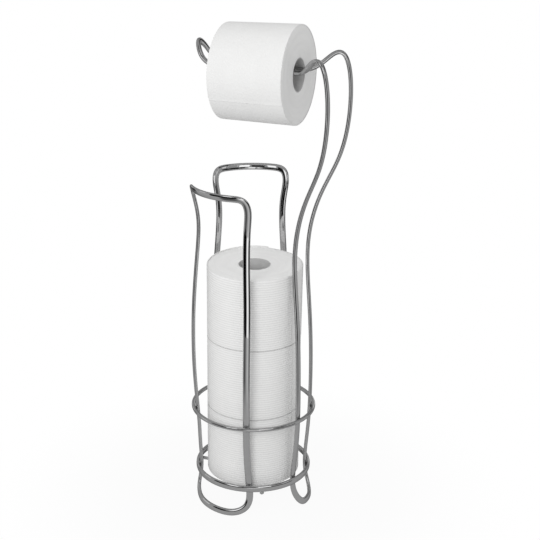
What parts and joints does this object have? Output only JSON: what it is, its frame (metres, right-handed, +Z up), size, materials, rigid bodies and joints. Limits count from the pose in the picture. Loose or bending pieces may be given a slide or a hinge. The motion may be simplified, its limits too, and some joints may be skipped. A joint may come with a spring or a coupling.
{
  "type": "toilet roll storage holder",
  "caption": "Free-standing wire toilet roll stand: leg loops and rings hold a stack of spare rolls, and the tallest loop bends over into an arm that carries the roll in use.",
  "frame": {"origin": "on the common axis of the two rings, at floor level", "axes": "+Z up along the ring axis; the tall loop stands on the +X side and its arm points along -X"},
  "size_m": [0.2025, 0.1789, 0.6641],
  "materials": {
    "wire": "polished",
    "tissue": "matte",
    "core_board": "matte"
  },
  "bodies": {
    "stand": {"base_ring": "wire", "middle_ring": "wire", "front_loop": "wire", "rear_loop": "wire", "tall_loop": "wire", "support_wire_left": "wire", "support_wire_front": "wire", "support_wire_rear": "wire"},
    "hanging_roll": {"hanging_core": "core_board", "hanging_paper": "tissue", "hanging_outer_turn": "tissue"},
    "spare_bottom_roll": {"spare_bottom_core": "core_board", "spare_bottom_paper": "tissue", "spare_bottom_outer_turn": "tissue"},
    "spare_middle_roll": {"spare_middle_core": "core_board", "spare_middle_paper": "tissue", "spare_middle_outer_turn": "tissue"},
    "spare_top_roll": {"spare_top_core": "core_board", "spare_top_paper": "tissue", "spare_top_outer_turn": "tissue"}
  },
  "joints": [
    {"name": "hanging_roll_spin", "type": "hinge", "parent": "stand", "child": "hanging_roll", "pos_m": [0.00952, 0, 0.60037], "axis": [1, 0, 0], "continuous": true},
    {"name": "spare_bottom_lift", "type": "slide", "parent": "stand", "child": "spare_bottom_roll", "axis": [0, 0, 1], "range_m": [0, 0.035]},
    {"name": "spare_middle_lift", "type": "slide", "parent": "spare_bottom_roll", "child": "spare_middle_roll", "axis": [0, 0, 1], "range_m": [0, 0.05]},
    {"name": "spare_top_lift", "type": "slide", "parent": "spare_middle_roll", "child": "spare_top_roll", "axis": [0, 0, 1], "range_m": [0, 0.1]}
  ]
}
